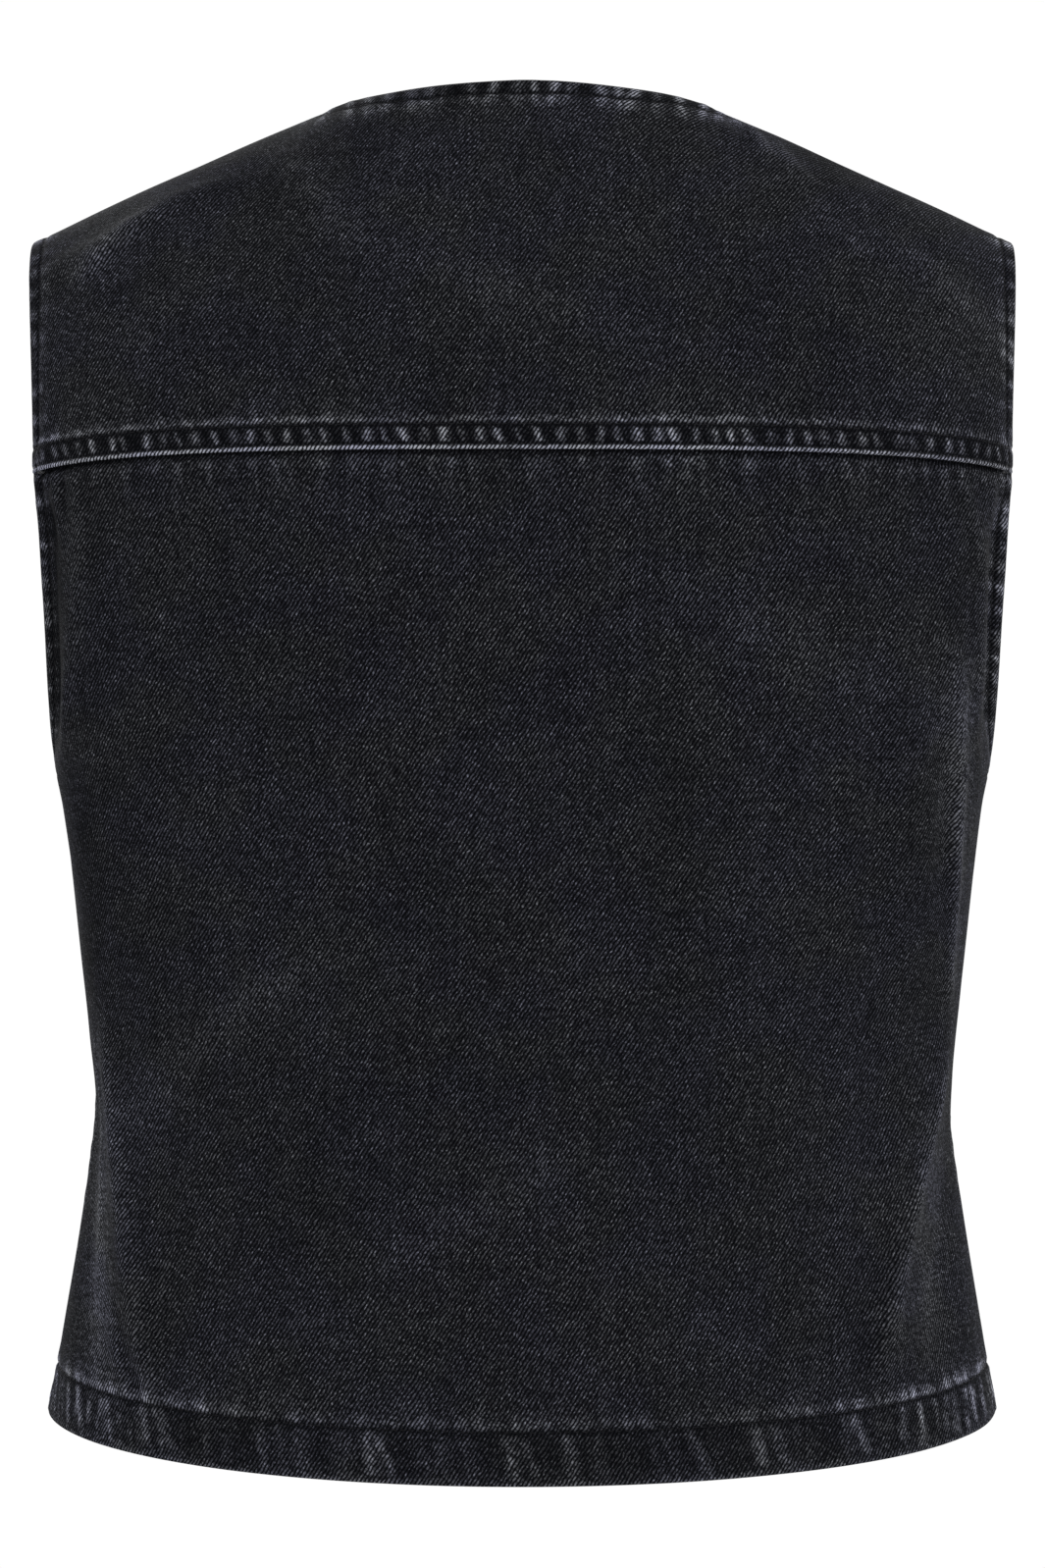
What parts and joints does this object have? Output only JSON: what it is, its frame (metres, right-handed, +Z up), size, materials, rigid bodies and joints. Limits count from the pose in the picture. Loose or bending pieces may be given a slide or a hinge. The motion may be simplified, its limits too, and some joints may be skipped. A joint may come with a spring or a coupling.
{
  "type": "denim vest",
  "caption": "Sleeveless cropped vest of washed black denim, keeping its hollow worn form, with a back yoke and a buttoned V-neck front.",
  "frame": {"origin": "midway between the two shoulders that carry the vest, in the plane of the side and shoulder seams, at about the mean height of the shoulder seams", "axes": "+Z up, +X to the wearer's left, -Y the way the wearer faces, so that the back is at +Y"},
  "size_m": [0.4004, 0.2403, 0.5445],
  "materials": {
    "denim": "washed black 3/1 right-hand twill with grey flecks, worn pale along seams and folded edges, matt",
    "button_metal": "gunmetal jeans button, satin, worn a little brighter on the rim",
    "seam_thread": "black corespun topstitching thread"
  },
  "bodies": {
    "root": {"back_panel": "denim", "back_yoke": "denim", "front_right": "denim", "front_left": "denim", "button_1": "button_metal", "button_2": "button_metal", "button_3": "button_metal", "button_4": "button_metal", "button_5": "button_metal"}
  },
  "joints": []
}
